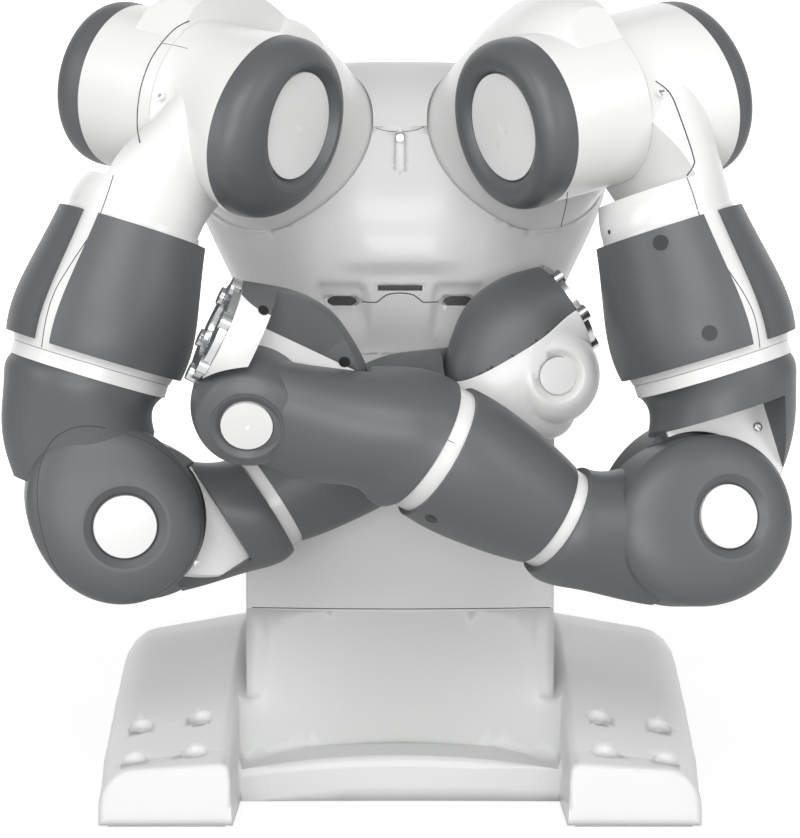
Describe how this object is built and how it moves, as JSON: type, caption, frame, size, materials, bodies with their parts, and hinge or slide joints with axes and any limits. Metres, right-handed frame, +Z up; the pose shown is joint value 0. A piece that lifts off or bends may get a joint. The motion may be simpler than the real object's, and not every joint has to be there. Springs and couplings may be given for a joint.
{
  "type": "dual-arm collaborative robot",
  "caption": "Tabletop collaborative robot with two folded multi-axis arms on a rounded torso, for picking, handling and assembling small parts.",
  "frame": {"origin": "on the mounting surface, straight under the body's upright axis", "axes": "+X forward, the way the robot faces; +Y to the robot's left; +Z up"},
  "size_m": [0.6388, 0.4679, 0.5087],
  "materials": {
    "white_enamel": "gloss lacquer, slightly cool white",
    "white_shell": "gloss white shell",
    "grey_soft": "soft matt dark grey",
    "flange_alloy": "machined, satin",
    "bearing_steel": "ground steel",
    "plate_steel": "zinc-plated steel",
    "panel_dark": "matt black panel",
    "slot_black": "matt black insert"
  },
  "bodies": {
    "torso": {"base_housing": "white_enamel", "base_plate": "plate_steel", "connector_panel": "panel_dark", "column_shell": "white_enamel", "chest_shell": "white_enamel", "top_cover": "white_enamel", "back_cover": "white_enamel", "slot_insert": "slot_black", "shoulder_bearings": "bearing_steel", "chest_screw": "bearing_steel"},
    "left_shoulder": {"left_shoulder_housing": "white_shell", "left_shoulder_cap": "grey_soft", "left_shoulder_disc": "white_shell"},
    "left_upper_arm": {"left_upper_arm_shell": "white_shell", "left_upper_arm_cap": "grey_soft", "left_upper_arm_disc": "white_shell", "left_upper_arm_pads": "grey_soft", "left_arm_cover_plate": "white_shell"},
    "left_elbow": {"left_swivel_ring": "white_shell", "left_elbow_housing": "grey_soft", "left_elbow_cap": "grey_soft", "left_elbow_disc": "white_shell", "left_elbow_panel": "white_shell"},
    "left_forearm": {"left_forearm_housing": "grey_soft", "left_forearm_cap": "grey_soft", "left_forearm_disc": "white_shell", "left_forearm_panel": "white_shell", "left_forearm_rings": "white_shell", "left_forearm_cover": "grey_soft"},
    "left_wrist": {"left_wrist_housing": "grey_soft", "left_wrist_disc": "white_shell"},
    "left_hand": {"left_hand_body": "white_shell", "left_hand_cover": "grey_soft", "left_hand_disc": "white_shell"},
    "left_flange": {"left_tool_flange": "flange_alloy"},
    "right_shoulder": {"right_shoulder_housing": "white_shell", "right_shoulder_cap": "grey_soft", "right_shoulder_disc": "white_shell"},
    "right_upper_arm": {"right_upper_arm_shell": "white_shell", "right_upper_arm_cap": "grey_soft", "right_upper_arm_disc": "white_shell", "right_upper_arm_pads": "grey_soft", "right_arm_cover_plate": "white_shell"},
    "right_elbow": {"right_swivel_ring": "white_shell", "right_elbow_housing": "grey_soft", "right_elbow_cap": "grey_soft", "right_elbow_disc": "white_shell", "right_elbow_panel": "white_shell"},
    "right_forearm": {"right_forearm_housing": "grey_soft", "right_forearm_cap": "grey_soft", "right_forearm_disc": "white_shell", "right_forearm_panel": "white_shell", "right_forearm_rings": "white_shell", "right_forearm_cover": "grey_soft"},
    "right_wrist": {"right_wrist_housing": "grey_soft", "right_wrist_disc": "white_shell"},
    "right_hand": {"right_hand_body": "white_shell", "right_hand_cover": "grey_soft", "right_hand_disc": "white_shell"},
    "right_flange": {"right_tool_flange": "flange_alloy"}
  },
  "joints": [
    {"name": "left_shoulder_turn", "type": "hinge", "parent": "torso", "child": "left_shoulder", "pos_m": [0.05355, 0.0725, 0.41492], "axis": [-0.8138, -0.3421, -0.4699], "range_deg": [-216, 7]},
    {"name": "left_shoulder_bend", "type": "hinge", "parent": "left_shoulder", "child": "left_upper_arm", "pos_m": [0.14418, 0.11964, 0.43647], "axis": [0.4927, -0.8349, -0.2455], "range_deg": [-4, 112]},
    {"name": "left_upper_arm_roll", "type": "hinge", "parent": "left_upper_arm", "child": "left_elbow", "pos_m": [0.17492, 0.1848, 0.27653], "axis": [-0.0269, -0.2965, 0.9546], "range_deg": [-4, 246]},
    {"name": "left_elbow_bend", "type": "hinge", "parent": "left_elbow", "child": "left_forearm", "pos_m": [0.19269, 0.17093, 0.19025], "axis": [-0.9271, -0.3497, -0.1347], "range_deg": [-106, 9]},
    {"name": "left_forearm_roll", "type": "hinge", "parent": "left_forearm", "child": "left_wrist", "pos_m": [0.24432, 0.01622, 0.23648], "axis": [-0.2436, 0.8356, -0.4924], "range_deg": [-146, 425]},
    {"name": "left_wrist_bend", "type": "hinge", "parent": "left_wrist", "child": "left_hand", "pos_m": [0.25924, -0.08249, 0.26546], "axis": [0.9033, 0.0107, -0.4288], "range_deg": [-34, 108]},
    {"name": "left_flange_turn", "type": "hinge", "parent": "left_hand", "child": "left_flange", "pos_m": [0.27538, -0.09575, 0.29913], "axis": [-0.2065, 0.8871, -0.4129], "range_deg": [-226, 226]},
    {"name": "right_shoulder_turn", "type": "hinge", "parent": "torso", "child": "right_shoulder", "pos_m": [0.05355, -0.0725, 0.41492], "axis": [-0.8138, 0.3421, -0.4699], "range_deg": [-4, 22]},
    {"name": "right_shoulder_bend", "type": "hinge", "parent": "right_shoulder", "child": "right_upper_arm", "pos_m": [0.14439, -0.11927, 0.43636], "axis": [0.488, 0.8412, -0.2328], "range_deg": [-10, 4]},
    {"name": "right_upper_arm_roll", "type": "hinge", "parent": "right_upper_arm", "child": "right_elbow", "pos_m": [0.1782, -0.18313, 0.27652], "axis": [0.0443, -0.2903, -0.9559], "range_deg": [-1.5, 4]},
    {"name": "right_elbow_bend", "type": "hinge", "parent": "right_elbow", "child": "right_forearm", "pos_m": [0.17283, -0.16693, 0.18899], "axis": [0.9764, 0.2151, -0.0201], "range_deg": [-42, 4]},
    {"name": "right_forearm_roll", "type": "hinge", "parent": "right_forearm", "child": "right_wrist", "pos_m": [0.13925, -0.00952, 0.24221], "axis": [0.1717, -0.8294, -0.5316], "range_deg": [-19, 168]},
    {"name": "right_wrist_bend", "type": "hinge", "parent": "right_wrist", "child": "right_hand", "pos_m": [0.11922, 0.08782, 0.2727], "axis": [-0.9797, -0.2004, -0.0039], "range_deg": [-28, 45]},
    {"name": "right_flange_turn", "type": "hinge", "parent": "right_hand", "child": "right_flange", "pos_m": [0.11695, 0.09818, 0.31088], "axis": [0.1728, -0.8347, -0.5229], "range_deg": [-77, 375]}
  ]
}
